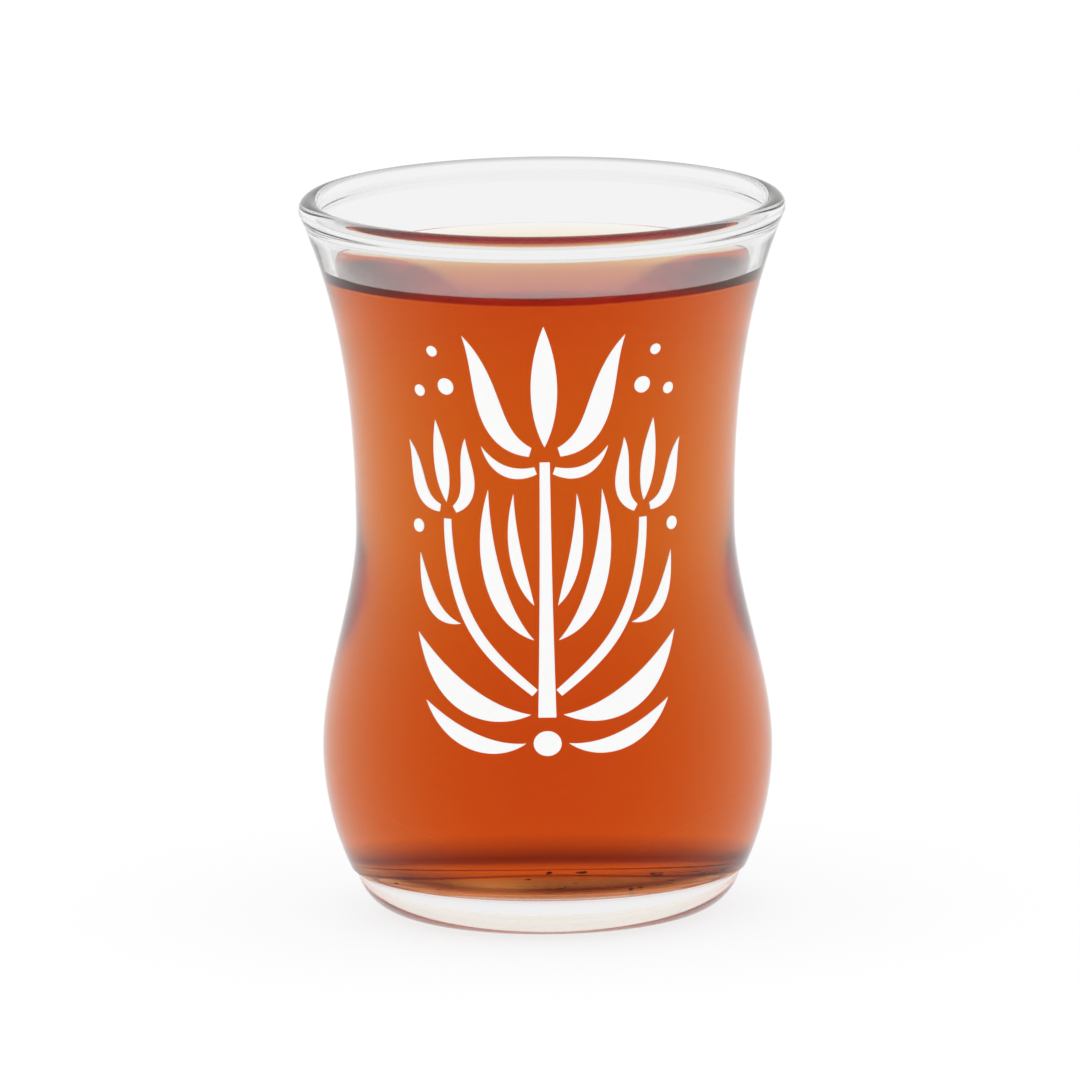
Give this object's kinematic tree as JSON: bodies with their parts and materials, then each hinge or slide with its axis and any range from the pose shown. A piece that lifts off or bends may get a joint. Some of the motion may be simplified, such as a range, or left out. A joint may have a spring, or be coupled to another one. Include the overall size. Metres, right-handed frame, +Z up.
{
  "type": "turkish tea glass filled with tea",
  "caption": "Waisted tea glass with a thick clear base, round belly and flared rounded lip, filled with brewed tea to just below the rim.",
  "frame": {"origin": "middle of the underside, on the surface that the glass stands on", "axes": "+Z up along the glass's axis; the glass is a solid of revolution, so +X and +Y are free and -Y is taken as the front"},
  "size_m": [0.0572, 0.0572, 0.085],
  "materials": {
    "clear_glass": "clear, fire-polished soda-lime glass",
    "brewed_tea": "clear orange-brown brewed tea"
  },
  "bodies": {
    "root": {"glass": "clear_glass", "tea": "brewed_tea"}
  },
  "joints": []
}
